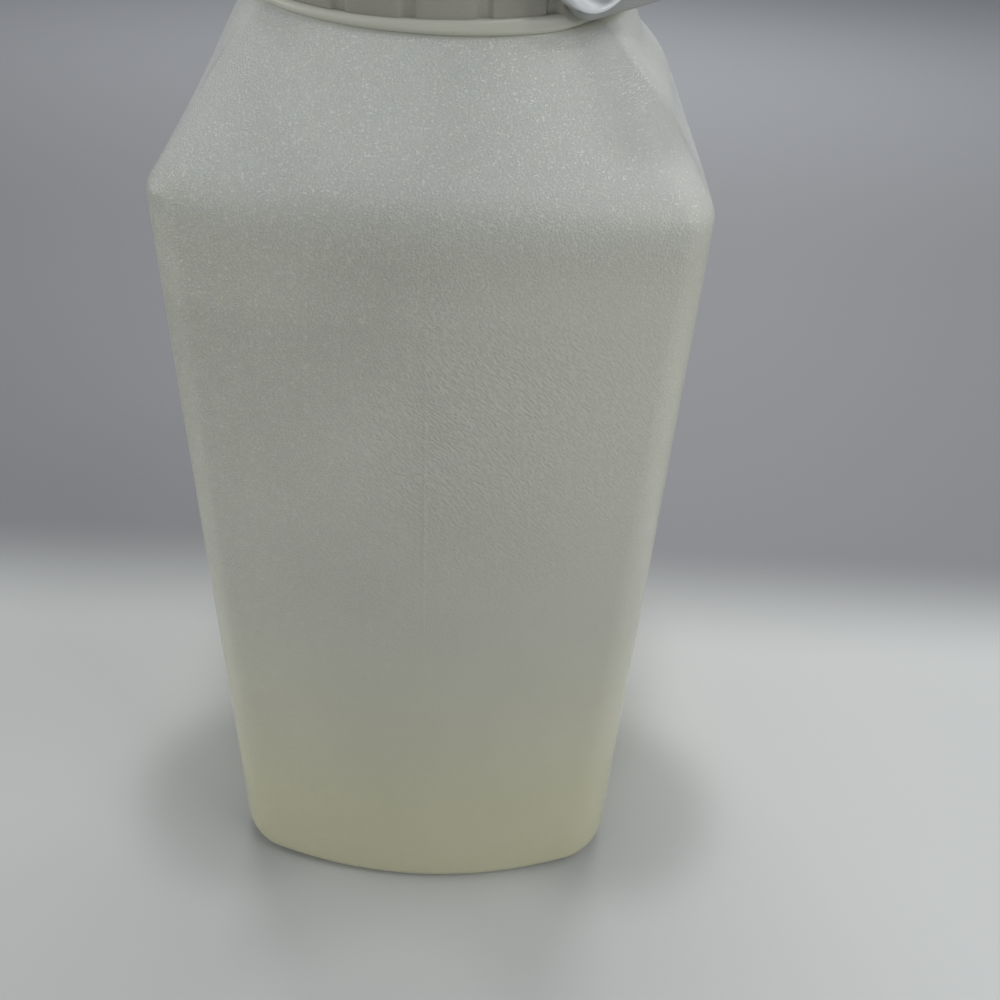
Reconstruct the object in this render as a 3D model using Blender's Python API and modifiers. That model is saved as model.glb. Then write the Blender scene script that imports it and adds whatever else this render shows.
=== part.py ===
"""A shut, square jug in thin translucent plastic, with a ribbed screw cap.

The body is a rounded square whose front and back faces swell outwards. Its shoulder is drawn in to a
wide round neck that ends in a thin collar. The cap sits on the collar. A flat tab stands against the
cap's skirt at the front right, with a round stud on its back end.

Metres, +Z up, the parting seam's side of the jug facing -Y, origin in the middle of the flat base.
"""

import math

import bmesh
import bpy
from mathutils import Matrix, Vector

MM = 0.001
GAP = 0.3 * MM

# Body: half the width and depth at the corners, at the shoulder's edge and at the base.
SHOULDER_HALF = 54.7 * MM
BASE_HALF = 53.7 * MM
SHOULDER_CORNER_RADIUS = 6.0 * MM
BASE_CORNER_RADIUS = 11.5 * MM
SHOULDER_FACE_SWELL = 8.0 * MM
BASE_FACE_SWELL = 11.8 * MM
SHOULDER_SIDE_SWELL = 1.0 * MM
BASE_SIDE_SWELL = 0.4 * MM
BASE_EDGE_RADIUS = 5.0 * MM
SHOULDER_HEIGHT = 201.0 * MM
SHOULDER_EDGE_SOFTNESS = 10.0 * MM
CORNER_EDGE_SOFTNESS = 2.5 * MM
SHOULDER_CROWN = 0.002

# Neck and collar.
NECK_RADIUS = 42.0 * MM
NECK_HEIGHT = 228.3 * MM
COLLAR_RADIUS = 43.0 * MM
COLLAR_BOTTOM = 228.6 * MM
COLLAR_TOP = 230.6 * MM
COLLAR_EDGE_RADIUS = 0.9 * MM

# Screw cap: panels divided by grooves, counted round from the jug's front.
CAP_RADIUS = 41.8 * MM
CAP_HEIGHT = 23.4 * MM
CAP_EDGE_RADIUS = 2.0 * MM
CAP_PANELS = 19
CAP_FIRST_GROOVE = math.radians(11.9)
GROOVE_WIDTH = 2.8 * MM
GROOVE_DEPTH = 0.8 * MM
GROOVE_TOP_MARGIN = 4.0 * MM

# Tab and stud: both stand on a plane that touches the skirt at this angle round from the front.
TAB_ANGLE = math.radians(38.0)
TAB_TILT = math.radians(6.0)
TAB_CLEARANCE = 0.5 * MM
TAB_THICKNESS = 2.0 * MM
TAB_HEIGHT = 20.0 * MM
TAB_BACK_END = -5.0 * MM
TAB_FREE_END = 26.0 * MM
TAB_CORNER_RADIUS = 7.0 * MM
TAB_EDGE_RADIUS = 0.5 * MM
STUD_RADIUS = 9.4 * MM
STUD_THICKNESS = 4.4 * MM
STUD_RIM_RADIUS = 1.2 * MM
STUD_DISH = 1.6 * MM
STUD_FOOT_CHAMFER = 0.4 * MM
STUD_ALONG_TAB = -1.0 * MM
STUD_HEIGHT = 241.9 * MM

# Fineness of the meshes.
FACE_STEPS = 6
CORNER_STEPS = 6
QUARTER_STEPS = 2 * FACE_STEPS + CORNER_STEPS
PLAN_STEPS = 4 * QUARTER_STEPS
BASE_EDGE_STEPS = 5
WALL_STEPS = 7
EDGE_STEPS = 6
SHOULDER_STEPS = 6
ROUND_STEPS = 96
CAP_STEPS = 144
STUD_STEPS = 48
ARC_STEPS = 4

CAP_BOTTOM = COLLAR_TOP + GAP
TOP = CAP_BOTTOM + CAP_HEIGHT


def new_collection(name):
    collection = bpy.data.collections.new(name)
    bpy.context.scene.collection.children.link(collection)
    return collection


def plastic(name, colour, roughness, transmission=0.0):
    material = bpy.data.materials.new(name)
    material.use_nodes = True
    shader = material.node_tree.nodes["Principled BSDF"]
    shader.inputs["Base Color"].default_value = (*colour, 1.0)
    shader.inputs["Roughness"].default_value = roughness
    shader.inputs["Metallic"].default_value = 0.0
    shader.inputs["Transmission Weight"].default_value = transmission
    return material


def place_mesh(name, mesh, collection, material=None):
    piece = bpy.data.objects.new(name, mesh)
    collection.objects.link(piece)
    if material:
        mesh.materials.append(material)
    return piece


def shade_round(piece, angle=40.0):
    piece.data.shade_smooth()
    piece.data.set_sharp_from_angle(angle=math.radians(angle))


def hide_as_cutter(piece):
    piece.hide_render = True
    piece.display_type = "WIRE"


def mix(start, end, share):
    return start + (end - start) * share


def arc_points(centre, radius, start, end, steps):
    """Points (across, up) on an arc, from the start angle to the end angle in degrees."""
    points = []
    for step in range(steps + 1):
        angle = math.radians(mix(start, end, step / steps))
        points.append((centre[0] + radius * math.cos(angle), centre[1] + radius * math.sin(angle)))
    return points


def turned(name, profile, steps, collection, material=None):
    """A turned piece: (radius, height) points down its outer side, spun once round Z."""
    mesh = bpy.data.meshes.new(name)
    points = [(radius, 0.0, height) for radius, height in profile]
    edges = [(index, index + 1) for index in range(len(points) - 1)]
    mesh.from_pydata(points, edges, [])
    piece = place_mesh(name, mesh, collection, material)
    screw = piece.modifiers.new("spin", "SCREW")
    screw.axis = "Z"
    screw.steps = steps
    screw.render_steps = steps
    screw.use_merge_vertices = True
    screw.merge_threshold = 0.00002
    screw.use_normal_calculate = False
    return piece


def plan_point(step, half, radius, face_swell, side_swell):
    """One point of the body's outline seen from above, counted round from the front's middle."""
    quarter, along = divmod(step, QUARTER_STEPS)
    flat = half - radius
    if along < FACE_STEPS:
        point = Vector((flat * along / FACE_STEPS, -half))
    elif along < FACE_STEPS + CORNER_STEPS:
        turn = math.radians(-90 + 90 * (along - FACE_STEPS) / CORNER_STEPS)
        point = Vector((flat + radius * math.cos(turn), -flat + radius * math.sin(turn)))
    else:
        back = (along - FACE_STEPS - CORNER_STEPS) / FACE_STEPS
        point = Vector((half, -flat + flat * back))
    point = Matrix.Rotation(math.radians(90 * quarter), 2) @ point
    x = point.x * (1 + side_swell / half * (1 - (point.y / half) ** 2))
    y = point.y * (1 + face_swell / half * (1 - (point.x / half) ** 2))
    return Vector((x, y, 0.0))


def wall_point(step, height, inset=0.0):
    """A point of the body's wall, which narrows and grows rounder towards the base."""
    share = height / SHOULDER_HEIGHT
    point = plan_point(
        step,
        mix(BASE_HALF, SHOULDER_HALF, share) - inset,
        mix(BASE_CORNER_RADIUS, SHOULDER_CORNER_RADIUS, share) - inset,
        mix(BASE_FACE_SWELL, SHOULDER_FACE_SWELL, share),
        mix(BASE_SIDE_SWELL, SHOULDER_SIDE_SWELL, share),
    )
    point.z = height
    return point


def neck_point(step):
    angle = math.radians(-90 + 360 * step / PLAN_STEPS)
    return Vector((NECK_RADIUS * math.cos(angle), NECK_RADIUS * math.sin(angle), NECK_HEIGHT))


def shoulder_point(step, share):
    """A point between the shoulder's edge (share 0) and the neck (share 1), slightly crowned."""
    point = wall_point(step, SHOULDER_HEIGHT).lerp(neck_point(step), share)
    crown = 1 + SHOULDER_CROWN * 4 * share * (1 - share)
    return Vector((point.x * crown, point.y * crown, point.z))


def edge_softness(step):
    """How far the shoulder's edge is rounded: widely in a face's middle, tightly at a corner."""
    along = step % QUARTER_STEPS
    from_middle = min(along, QUARTER_STEPS - along, FACE_STEPS)
    share = math.cos(math.pi / 2 * from_middle / FACE_STEPS) ** 3
    return mix(CORNER_EDGE_SOFTNESS, SHOULDER_EDGE_SOFTNESS, share)


def body_column(step):
    """The body's points at one place round the plan, from the flat base up to the neck."""
    column = []
    for row in range(BASE_EDGE_STEPS):
        angle = math.pi / 2 * row / BASE_EDGE_STEPS
        height = BASE_EDGE_RADIUS * (1 - math.cos(angle))
        column.append(wall_point(step, height, BASE_EDGE_RADIUS * (1 - math.sin(angle))))
    softness = edge_softness(step)
    wall_top = SHOULDER_HEIGHT - softness
    for row in range(WALL_STEPS):
        column.append(wall_point(step, mix(BASE_EDGE_RADIUS, wall_top, row / WALL_STEPS)))
    edge = wall_point(step, SHOULDER_HEIGHT)
    shoulder_start = softness / (neck_point(step) - edge).length
    start = wall_point(step, wall_top)
    end = shoulder_point(step, shoulder_start)
    for row in range(EDGE_STEPS):
        share = row / EDGE_STEPS
        column.append(start.lerp(edge, share).lerp(edge.lerp(end, share), share))
    for row in range(SHOULDER_STEPS + 1):
        column.append(shoulder_point(step, mix(shoulder_start, 1.0, row / SHOULDER_STEPS)))
    top = neck_point(step)
    top.z = (COLLAR_BOTTOM + COLLAR_TOP) / 2
    column.append(top)
    return column


def make_body(parts, cutters):
    mesh = bpy.data.meshes.new("jug_body")
    bm = bmesh.new()
    columns = [[bm.verts.new(point) for point in body_column(step)] for step in range(PLAN_STEPS)]
    for left, right in zip(columns, columns[1:] + columns[:1]):
        for row in range(len(left) - 1):
            bm.faces.new((left[row], right[row], right[row + 1], left[row + 1]))
    bm.faces.new([column[0] for column in reversed(columns)])
    bm.faces.new([column[-1] for column in columns])
    bm.to_mesh(mesh)
    bm.free()
    body = place_mesh("jug_body", mesh, parts, plastic("jug_body", (0.60, 0.60, 0.53), 0.2, 0.2))

    edge_centre = COLLAR_RADIUS - COLLAR_EDGE_RADIUS
    profile = [(0.0, COLLAR_TOP)]
    profile += arc_points((edge_centre, COLLAR_TOP - COLLAR_EDGE_RADIUS), COLLAR_EDGE_RADIUS, 90, 0, ARC_STEPS)
    profile += arc_points((edge_centre, COLLAR_BOTTOM + COLLAR_EDGE_RADIUS), COLLAR_EDGE_RADIUS, 0, -90, ARC_STEPS)
    profile += [(0.0, COLLAR_BOTTOM)]
    collar = turned("collar", profile, ROUND_STEPS, cutters)
    hide_as_cutter(collar)
    join = body.modifiers.new("collar", "BOOLEAN")
    join.operation = "UNION"
    join.solver = "EXACT"
    join.object = collar
    shade_round(body)


def make_cap(parts, cutters):
    edge_centre = (CAP_RADIUS - CAP_EDGE_RADIUS, TOP - CAP_EDGE_RADIUS)
    profile = [(0.0, TOP)]
    profile += arc_points(edge_centre, CAP_EDGE_RADIUS, 90, 0, ARC_STEPS)
    profile += [(CAP_RADIUS, CAP_BOTTOM), (0.0, CAP_BOTTOM)]
    cap = turned("screw_cap", profile, CAP_STEPS, parts, plastic("screw_cap", (0.345, 0.338, 0.283), 0.5))

    low = CAP_BOTTOM - CAP_EDGE_RADIUS
    height = TOP - GROOVE_TOP_MARGIN - low
    bm = bmesh.new()
    for panel in range(CAP_PANELS):
        angle = CAP_FIRST_GROOVE + math.tau * panel / CAP_PANELS
        place = Matrix.Rotation(angle, 4, "Z") @ Matrix.Translation((0.0, -CAP_RADIUS, low + height / 2))
        size = Matrix.Diagonal((GROOVE_WIDTH, 2 * GROOVE_DEPTH, height, 1.0))
        bmesh.ops.create_cube(bm, size=1.0, matrix=place @ size)
    mesh = bpy.data.meshes.new("cap_grooves")
    bm.to_mesh(mesh)
    bm.free()
    grooves = place_mesh("cap_grooves", mesh, cutters)
    hide_as_cutter(grooves)
    cut = cap.modifiers.new("grooves", "BOOLEAN")
    cut.operation = "DIFFERENCE"
    cut.solver = "EXACT"
    cut.object = grooves
    shade_round(cap)


def tab_place(along, out, height):
    """A matrix on the tab's plane: X runs along the tab, Y points in to the cap, Z is up."""
    turn = Matrix.Rotation(TAB_ANGLE, 4, "Z")
    return turn @ Matrix.Translation((along, -(CAP_RADIUS + TAB_CLEARANCE + out), height))


def make_tab(parts):
    length = TAB_FREE_END - TAB_BACK_END
    along = (TAB_FREE_END + TAB_BACK_END) / 2
    rise = math.sin(TAB_TILT) * (length / 2 - TAB_CORNER_RADIUS)
    height = CAP_BOTTOM + TAB_HEIGHT / 2 + rise
    bm = bmesh.new()
    bmesh.ops.create_cube(bm, size=1.0, matrix=Matrix.Diagonal((length, TAB_THICKNESS, TAB_HEIGHT, 1.0)))
    corners = [edge for edge in bm.edges if abs(edge.verts[0].co.y - edge.verts[1].co.y) > TAB_THICKNESS / 2]
    bmesh.ops.bevel(bm, geom=corners, offset=TAB_CORNER_RADIUS, segments=6, profile=0.5, affect="EDGES")
    mesh = bpy.data.meshes.new("side_tab")
    bm.to_mesh(mesh)
    bm.free()
    tab = place_mesh("side_tab", mesh, parts, plastic("side_tab", (0.315, 0.325, 0.31), 0.5))
    tab.matrix_world = tab_place(along, TAB_THICKNESS / 2, height) @ Matrix.Rotation(-TAB_TILT, 4, "Y")
    soften = tab.modifiers.new("soften", "BEVEL")
    soften.width = TAB_EDGE_RADIUS
    soften.segments = 2
    soften.limit_method = "ANGLE"
    soften.angle_limit = math.radians(50)
    shade_round(tab)


def make_stud(parts):
    rim = (STUD_RADIUS - STUD_RIM_RADIUS, STUD_THICKNESS - STUD_RIM_RADIUS)
    profile = [(0.0, STUD_THICKNESS - STUD_DISH)]
    profile += arc_points(rim, STUD_RIM_RADIUS, 125, 0, 2 * ARC_STEPS)
    profile += [(STUD_RADIUS, STUD_FOOT_CHAMFER), (STUD_RADIUS - STUD_FOOT_CHAMFER, 0.0), (0.0, 0.0)]
    stud = turned("round_stud", profile, STUD_STEPS, parts, plastic("round_stud", (0.74, 0.76, 0.78), 0.18))
    outwards = Matrix.Rotation(math.pi / 2, 4, "X")
    stud.matrix_world = tab_place(STUD_ALONG_TAB, TAB_THICKNESS + GAP, STUD_HEIGHT) @ outwards
    shade_round(stud)


def main():
    for piece in list(bpy.data.objects):
        bpy.data.objects.remove(piece, do_unlink=True)
    parts = new_collection("translucent_jug")
    cutters = new_collection("cutters")
    make_body(parts, cutters)
    make_cap(parts, cutters)
    make_tab(parts)
    make_stud(parts)


main()
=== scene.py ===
import math

import bpy
import numpy as np
from bpy.props import FloatProperty, FloatVectorProperty, IntProperty, PointerProperty
from bpy.types import Operator, Panel, PropertyGroup
from mathutils import Matrix, Vector


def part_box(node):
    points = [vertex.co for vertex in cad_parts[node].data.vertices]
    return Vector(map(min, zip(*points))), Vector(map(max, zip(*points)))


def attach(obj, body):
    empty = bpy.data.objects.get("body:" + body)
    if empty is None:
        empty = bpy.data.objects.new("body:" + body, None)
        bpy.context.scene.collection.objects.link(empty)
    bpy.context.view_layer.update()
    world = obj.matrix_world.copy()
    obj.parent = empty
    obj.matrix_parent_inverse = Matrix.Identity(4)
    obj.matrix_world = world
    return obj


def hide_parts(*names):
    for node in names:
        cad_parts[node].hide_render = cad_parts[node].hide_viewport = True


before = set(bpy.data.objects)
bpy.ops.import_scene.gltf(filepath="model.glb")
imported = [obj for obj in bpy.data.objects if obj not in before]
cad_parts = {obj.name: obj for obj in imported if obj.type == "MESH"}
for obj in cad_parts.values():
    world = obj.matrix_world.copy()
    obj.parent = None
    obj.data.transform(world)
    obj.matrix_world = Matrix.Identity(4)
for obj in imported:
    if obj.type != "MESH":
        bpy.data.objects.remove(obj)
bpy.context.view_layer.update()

bl_info = {
    "name": "Square plastic jug",
    "version": (1, 0, 0),
    "blender": (4, 5, 0),
    "location": "3D View > Sidebar > Jug",
    "description": "Makes a shut, milky square jug with a ribbed screw cap, a side tab and a round stud",
    "category": "Add Mesh",
}

MM = 0.001
BODY_LOW, BODY_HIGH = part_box("jug_body")
CAP_LOW, CAP_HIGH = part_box("screw_cap")
STUD_LOW, STUD_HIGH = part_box("round_stud")
STUD_MIDDLE = (STUD_HIGH.z + STUD_LOW.z) / 2

# Stations round the body's outline: steps along half a face and round a corner, the ones by the seam with
# the step to the next one, and the angle round the neck that half a face takes up.
FACE_STEPS = 22
CORNER_STEPS = 18
SEAM_STATIONS = (0.0, 0.2 * MM, 0.4 * MM, 0.7 * MM, 1.1 * MM, 1.8 * MM)
SEAM_STEP = 1.6
FACE_TURN = math.radians(30)

# Rows up the body.
BASE_EDGE_ROWS = 8
WALL_ROWS = 70
EDGE_ROWS = 16
SHOULDER_ROWS = 30
BEAD_ROWS = 12

# Rings of the underside as shares of its outline, and the shares where its recess ends and its rim begins.
UNDERSIDE_RINGS = (0.12, 0.3, 0.5, 0.68, 0.8, 0.84, 0.88, 0.91, 0.94, 0.97)
RECESS_ENDS, RIM_BEGINS = 0.8, 0.94

# The parting line across the underside: its depth, half width and half length.
PINCH_DEPTH, PINCH_WIDTH, PINCH_REACH = 0.5 * MM, 0.6 * MM, 40 * MM

# Heights between which the wall's marks grow from the base, and the seam begins and fades to a trace.
MARKS_GROW = (0.0, 12 * MM)
SEAM_GROWS = (95 * MM, 125 * MM)
SEAM_FADES = (150 * MM, 190 * MM)
SEAM_TRACE = 0.2

# The crossed waves' lengths, the sum their heights are divided by, and the seed of their directions.
WAVE_LENGTHS = (0.11, 0.075, 0.05, 0.034)
WAVE_SUM = 2.4
WAVE_SEED = 7

# How far the burr reaches along X, Y and Z.
BURR_REACH = (2.2 * MM, 2.2 * MM, 0.8 * MM)

# The neck's dent: degrees from the right over which it fades, heights over which it grows, and the radius
# inside which nothing moves. Then the degrees for the collar's inset, and from the front right for its rise.
DENT_FADES = (15, 70)
DENT_GROWS = (215 * MM, 222.5 * MM)
DENT_INNER = 30 * MM
MERGE_FADES = (38, 62)
RISE_FADES = (10, 75)
RIGHT, FRONT_RIGHT = 90, 45


def length(name, description, default):
    return FloatProperty(name=name, description=description, default=default, unit="LENGTH", precision=5)


def angle(name, description, degrees):
    return FloatProperty(name=name, description=description, default=math.radians(degrees), subtype="ANGLE")


def share(name, description, default):
    return FloatProperty(
        name=name, description=description, default=default, min=0.0, max=1.0, subtype="FACTOR"
    )


def colour(name, description, default):
    return FloatVectorProperty(name=name, description=description, default=default, subtype="COLOR", size=3)


class JugShellSettings(PropertyGroup):
    """Sizes of the jug's body."""

    shoulder_half: length("Shoulder half width", "From the middle to a face at the shoulder", 54.7 * MM)
    base_half: length("Base half width", "From the middle to a face at the base", 53.7 * MM)
    shoulder_corner: length("Shoulder corner radius", "Upright corners at the shoulder", 6.0 * MM)
    base_corner: length("Base corner radius", "Upright corners at the base", 11.5 * MM)
    shoulder_face_swell: length("Shoulder face swell", "Swell of front and back at the shoulder", 8.0 * MM)
    base_face_swell: length("Base face swell", "Swell of front and back at the base", 11.8 * MM)
    shoulder_side_swell: length("Shoulder side swell", "Swell of the sides at the shoulder", 1.0 * MM)
    base_side_swell: length("Base side swell", "How far the sides swell at the base", 0.4 * MM)
    base_edge: length("Base edge radius", "Rounding between the wall and the base", 5.0 * MM)
    shoulder_height: length("Shoulder height", "Height of the shoulder's edge", 201.0 * MM)
    edge_softness: length("Edge softness", "Rounding of the shoulder's edge in a face's middle", 10.0 * MM)
    corner_softness: length("Corner softness", "Rounding of the shoulder's edge at a corner", 2.2 * MM)
    crown: share("Shoulder crown", "How far the shoulder bulges, as a share of its radius", 0.002)
    neck_radius: length("Neck radius", "Radius of the neck under the collar", 42.0 * MM)
    neck_height: length("Neck height", "Where the shoulder meets the neck", 228.3 * MM)
    collar_radius: length("Collar radius", "Outer radius of the collar's bead", 43.0 * MM)
    collar_bottom: length("Collar bottom", "Height of the collar's underside", 228.6 * MM)
    collar_top: length("Collar top", "Height of the collar's upper side", BODY_HIGH.z)
    seam_height: length("Seam height", "How far the parting seam stands out", 0.2 * MM)
    seam_width: length("Seam width", "Half width of the parting seam", 0.32 * MM)
    waviness: length("Waviness", "How far the wall wanders from its true shape", 0.16 * MM)
    burr: length("Corner burr", "Size of the flash left at a front corner of the shoulder", 0.9 * MM)
    base_recess: length("Base recess", "How far the underside is pushed up inside its rim", 1.6 * MM)
    neck_dent: length("Neck dent", "How far the neck and collar are pulled in on the right", 2.8 * MM)
    collar_merge: length("Collar merge", "How much further the collar is pulled in on the right", 1.9 * MM)
    collar_rise: length("Collar rise", "How much higher the collar stands at the front right", 1.1 * MM)


def band(low, high, steps, last=False):
    """Evenly spaced values from low towards high, with high itself only if it is the last."""
    return np.linspace(low, high, steps + 1)[: steps + 1 if last else steps]


def blend(start, end, amount):
    return start + (end - start) * amount


class Outline:
    """Stations round the body: where each lies on the plan, and its angle round the neck."""

    def __init__(self, jug):
        flat = jug.shoulder_half - jug.shoulder_corner
        by_seam = np.array(SEAM_STATIONS) / flat
        face = np.concatenate([by_seam, band(by_seam[-1] * SEAM_STEP, 1.0, FACE_STEPS)])
        turn = band(-math.pi / 2, 0.0, CORNER_STEPS)
        side = np.concatenate([[-1.0], -face[1:][::-1]])
        quarter_place = [(amount, -1.0) for amount in face]
        quarter_place += [(1.0, -1.0)] * len(turn)
        quarter_place += [(1.0, amount) for amount in side]
        quarter_arc = [(0.0, -1.0)] * len(face)
        quarter_arc += [(math.cos(amount), math.sin(amount)) for amount in turn]
        quarter_arc += [(1.0, 0.0)] * len(side)
        on_face = FACE_TURN * face
        on_corner = FACE_TURN + (math.pi / 2 - 2 * FACE_TURN) * (turn + math.pi / 2) / (math.pi / 2)
        on_side = math.pi / 2 - FACE_TURN * -side
        quarter_neck = np.concatenate([on_face, on_corner, on_side])
        quarter_middle = np.concatenate([face, np.ones(len(turn)), -side])
        spins = [np.array(Matrix.Rotation(math.radians(90 * quarter), 2)) for quarter in range(4)]
        self.place = np.concatenate([np.array(quarter_place) @ spin.T for spin in spins])
        self.arc = np.concatenate([np.array(quarter_arc) @ spin.T for spin in spins])
        self.neck = np.concatenate([quarter_neck + math.radians(90 * quarter - 90) for quarter in range(4)])
        self.from_middle = np.tile(quarter_middle, 4)
        self.jug = jug

    def wall(self, height, inset=0.0):
        """The wall's points at one height; height may be one value for each station."""
        jug = self.jug
        up = np.broadcast_to(height, self.neck.shape) / jug.shoulder_height
        half = blend(jug.base_half, jug.shoulder_half, up) - inset
        radius = blend(jug.base_corner, jug.shoulder_corner, up) - inset
        plan = self.place * (half - radius)[:, None] + self.arc * radius[:, None]
        side_swell = blend(jug.base_side_swell, jug.shoulder_side_swell, up)
        face_swell = blend(jug.base_face_swell, jug.shoulder_face_swell, up)
        x = plan[:, 0] * (1 + side_swell / half * (1 - (plan[:, 1] / half) ** 2))
        y = plan[:, 1] * (1 + face_swell / half * (1 - (plan[:, 0] / half) ** 2))
        return np.stack([x, y, up * jug.shoulder_height], axis=1)

    def ring(self, radius, height):
        level = np.full(self.neck.shape, height)
        return np.stack([radius * np.cos(self.neck), radius * np.sin(self.neck), level], axis=1)

    def shoulder(self, amount):
        """Points between the shoulder's edge and the neck; amount is one value for each station."""
        amount = np.broadcast_to(amount, self.neck.shape)[:, None]
        edge = self.wall(self.jug.shoulder_height)
        points = blend(edge, self.ring(self.jug.neck_radius, self.jug.neck_height), amount)
        crown = 1 + self.jug.crown * 4 * amount * (1 - amount)
        return points * np.concatenate([crown, crown, np.ones_like(crown)], axis=1)


def body_rows(jug):
    """Rings of points from the middle of the underside up over the wall and shoulder to the collar."""
    outline = Outline(jug)
    rows = []
    foot = outline.wall(0.0, jug.base_edge)
    for amount in UNDERSIDE_RINGS:
        ring = foot * np.array([amount, amount, 1.0])
        ring[:, 2] = jug.base_recess * (1 - smooth(amount, RECESS_ENDS, RIM_BEGINS))
        rows.append(ring)
    for turn in band(0.0, math.pi / 2, BASE_EDGE_ROWS):
        inset = jug.base_edge * (1 - math.sin(turn))
        rows.append(outline.wall(jug.base_edge * (1 - math.cos(turn)), inset))

    middle = np.cos(math.pi / 2 * outline.from_middle) ** 3
    softness = blend(jug.corner_softness, jug.edge_softness, middle)
    wall_top = jug.shoulder_height - softness
    for amount in band(0.0, 1.0, WALL_ROWS):
        rows.append(outline.wall(blend(jug.base_edge, wall_top, amount)))
    edge = outline.wall(jug.shoulder_height)
    reach = np.linalg.norm(outline.ring(jug.neck_radius, jug.neck_height) - edge, axis=1)
    start, end = outline.wall(wall_top), outline.shoulder(softness / reach)
    for amount in band(0.0, 1.0, EDGE_ROWS):
        rows.append(blend(blend(start, edge, amount), blend(edge, end, amount), amount))
    for amount in band(0.0, 1.0, SHOULDER_ROWS, last=True):
        rows.append(outline.shoulder(blend(softness / reach, 1.0, amount)))
    shoulder_end = len(rows)

    thickness = jug.collar_top - jug.collar_bottom
    bead = thickness / 2
    rows.append(outline.ring(jug.neck_radius, jug.collar_bottom))
    for turn in band(-math.pi / 2, math.pi / 2, BEAD_ROWS, last=True):
        radius = jug.collar_radius - bead + bead * math.cos(turn)
        rows.append(outline.ring(radius, jug.collar_bottom + bead * (1 + math.sin(turn))))
    rows.append(outline.ring(0.5 * jug.collar_radius, jug.collar_top))
    return np.array(rows), shoulder_end, outline


def grid_mesh(name, rows):
    """A closed mesh from rings of points, each running anticlockwise seen from above, bottom first."""
    count, around = rows.shape[:2]
    points = rows.reshape(-1, 3)
    row, column = np.meshgrid(np.arange(count - 1), np.arange(around), indexing="ij")
    beside = (column + 1) % around
    this, above = row * around, (row + 1) * around
    faces = np.stack([this + column, this + beside, above + beside, above + column], axis=-1)
    faces = faces.reshape(-1, 4).tolist()
    low, high = len(points), len(points) + 1
    points = np.concatenate([points, [rows[0].mean(0)], [rows[-1].mean(0)]])
    last = (count - 1) * around
    for step in range(around):
        after = (step + 1) % around
        faces.append((low, after, step))
        faces.append((high, last + step, last + after))
    mesh = bpy.data.meshes.new(name)
    mesh.from_pydata(points.tolist(), [], faces)
    mesh.validate()
    mesh.shade_smooth()
    return mesh


def outward(rows):
    """Unit normals of a grid of rings."""
    along = np.roll(rows, -1, axis=1) - np.roll(rows, 1, axis=1)
    up = np.gradient(rows, axis=0)
    normal = np.cross(along, up)
    return normal / np.maximum(np.linalg.norm(normal, axis=2, keepdims=True), 1e-12)


def bump_at(points, place, reach):
    return np.exp(-np.sum(((points - np.array(place)) / np.array(reach)) ** 2, axis=-1))


def steady(value, low, high):
    """A straight step from 0 at low to 1 at high."""
    return np.clip((value - low) / (high - low), 0, 1)


def smooth(value, low, high):
    """A smooth step from 0 at low to 1 at high."""
    amount = steady(value, low, high)
    return amount * amount * (3 - 2 * amount)


def turned_from(degrees, centre):
    """How many degrees round the neck each angle lies from the centre one."""
    return np.abs((degrees - centre + 180) % 360 - 180)


def wander(points, seed):
    """A slow, even wander between -1 and 1 made of a few crossed waves."""
    draw = np.random.default_rng(seed)
    total = np.zeros(points.shape[:-1])
    for size in WAVE_LENGTHS:
        direction = draw.normal(size=3)
        direction /= np.linalg.norm(direction)
        phase = draw.uniform(0, math.tau)
        total += np.sin(points @ direction * math.tau / size + phase) * size / WAVE_LENGTHS[0]
    return total / WAVE_SUM


def shell_points(jug):
    """The body's rings with the marks of its making: seams, waves, burr and the dent on the right."""
    rows, shoulder_end, outline = body_rows(jug)
    normal = outward(rows)
    x, height = rows[..., 0], rows[..., 2]
    row = np.arange(len(rows))[:, None]
    on_faces = np.abs(outline.place[:, 1]) > 0.999
    strength = steady(height, *MARKS_GROW) * np.where(row < shoulder_end, 1, 0)
    seam_strength = steady(height, *SEAM_GROWS) * blend(1.0, SEAM_TRACE, steady(height, *SEAM_FADES))
    seam = jug.seam_height * np.exp(-((x / jug.seam_width) ** 2)) * on_faces * strength * seam_strength
    waves = jug.waviness * wander(rows, WAVE_SEED) * strength
    corner = outline.wall(jug.shoulder_height)
    left = corner[np.argmin(corner[:, 0] + corner[:, 1])]
    burr = jug.burr * bump_at(rows, left, BURR_REACH)
    rows = rows + normal * (seam + waves + burr)[..., None]
    under = row < len(UNDERSIDE_RINGS)
    pinch = PINCH_DEPTH * np.exp(-((x / PINCH_WIDTH) ** 2)) * (np.abs(rows[..., 1]) < PINCH_REACH)
    rows[..., 2] -= np.where(under, pinch * (rows[..., 2] > jug.base_recess * 0.98), 0)

    round_neck = np.degrees(outline.neck) + 90
    from_right = turned_from(round_neck, RIGHT)
    dent = jug.neck_dent * (1 - smooth(from_right, *DENT_FADES)) * smooth(rows[..., 2], *DENT_GROWS)
    dent += jug.collar_merge * (1 - smooth(from_right, *MERGE_FADES)) * (row >= shoulder_end)
    radius = np.hypot(rows[..., 0], rows[..., 1])
    rows[..., :2] *= np.where(radius > DENT_INNER, 1 - dent / np.maximum(radius, MM), 1)[..., None]
    middle = (jug.collar_bottom + jug.collar_top) / 2
    rise = 1 - smooth(turned_from(round_neck, FRONT_RIGHT), *RISE_FADES)
    rows[..., 2] += jug.collar_rise * rise * smooth(rows[..., 2], middle, jug.collar_top)
    return rows


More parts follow.
